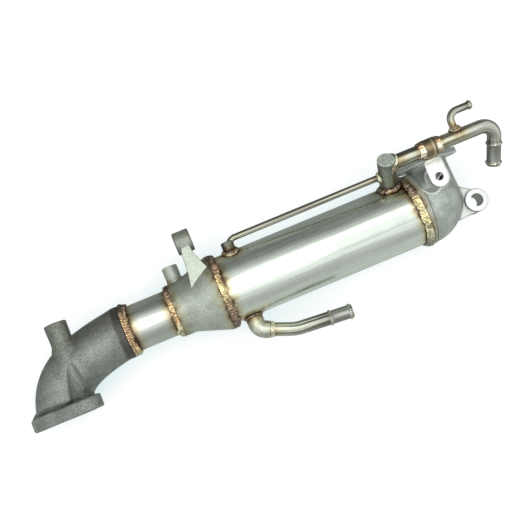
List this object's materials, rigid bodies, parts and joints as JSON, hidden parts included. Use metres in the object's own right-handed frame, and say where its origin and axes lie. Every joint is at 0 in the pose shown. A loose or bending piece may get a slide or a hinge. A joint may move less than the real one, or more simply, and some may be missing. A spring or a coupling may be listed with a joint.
{
  "type": "egr pipe",
  "caption": "Exhaust gas recirculation pipe: cast flanged elbow, short steel tube and cone, round shell-and-tube cooler, and a cast outlet head with coolant pipes and a bracket.",
  "frame": {"origin": "centre of the inlet bore on the inlet flange's sealing face", "axes": "+X runs along the cooler's axis from the inlet to the outlet, -Y is the outward normal of the inlet flange, +Z is the side that the header, lug and plug boss lean to"},
  "size_m": [0.424, 0.12, 0.079],
  "materials": {
    "cast_elbow": "dark as-cast skin with a coarse sand grain",
    "cast_cone": "grey-green as-cast skin, finer grain, machined at the lug and collar",
    "cast_head": "matte grey as-cast skin, bright where the collar, flange, boss and ear are machined",
    "satin_stainless": "brushed stainless tube, heat tint beside the welds",
    "pipe_stainless": "satin stainless pipe, straw tint beside the brazed joints",
    "fitting_steel": "turned fittings, greyer than the pipes",
    "bright_sheet": "bright pressed sheet",
    "weld_bead": "rippled weld metal with brown, copper and gold heat colours",
    "braze_gold": "smooth golden braze fillets",
    "inner_stainless": "plain stainless, hidden inside the shell"
  },
  "bodies": {
    "root": {"inlet_elbow": "cast_elbow", "inlet_tube": "satin_stainless", "inlet_cone": "cast_cone", "cooler_shell": "satin_stainless", "gas_tube_01": "inner_stainless", "gas_tube_02": "inner_stainless", "gas_tube_03": "inner_stainless", "gas_tube_04": "inner_stainless", "gas_tube_05": "inner_stainless", "gas_tube_06": "inner_stainless", "gas_tube_07": "inner_stainless", "gas_tube_08": "inner_stainless", "gas_tube_09": "inner_stainless", "gas_tube_10": "inner_stainless", "gas_tube_11": "inner_stainless", "gas_tube_12": "inner_stainless", "gas_tube_13": "inner_stainless", "gas_tube_14": "inner_stainless", "gas_tube_15": "inner_stainless", "gas_tube_16": "inner_stainless", "gas_tube_17": "inner_stainless", "gas_tube_18": "inner_stainless", "gas_tube_19": "inner_stainless", "tube_sheet_inlet": "inner_stainless", "tube_sheet_outlet": "inner_stainless", "baffle_1": "inner_stainless", "baffle_2": "inner_stainless", "outlet_head": "cast_head", "weld_elbow_to_tube": "weld_bead", "weld_tube_to_cone": "weld_bead", "weld_cone_to_shell": "weld_bead", "weld_shell_to_head": "weld_bead", "coolant_header": "fitting_steel", "header_weld": "weld_bead", "bleed_tube": "pipe_stainless", "bleed_fitting": "fitting_steel", "bleed_fitting_braze": "braze_gold", "bleed_header_braze": "braze_gold", "coolant_outlet_pipe": "pipe_stainless", "header_pipe_braze": "braze_gold", "vent_pipe": "pipe_stainless", "vent_braze": "braze_gold", "pipe_bracket": "bright_sheet", "bracket_braze_inner": "braze_gold", "bracket_braze_outer": "braze_gold", "coolant_inlet_fitting": "fitting_steel", "coolant_inlet_weld": "weld_bead", "coolant_inlet_pipe": "pipe_stainless", "inlet_pipe_braze": "braze_gold"}
  },
  "joints": []
}
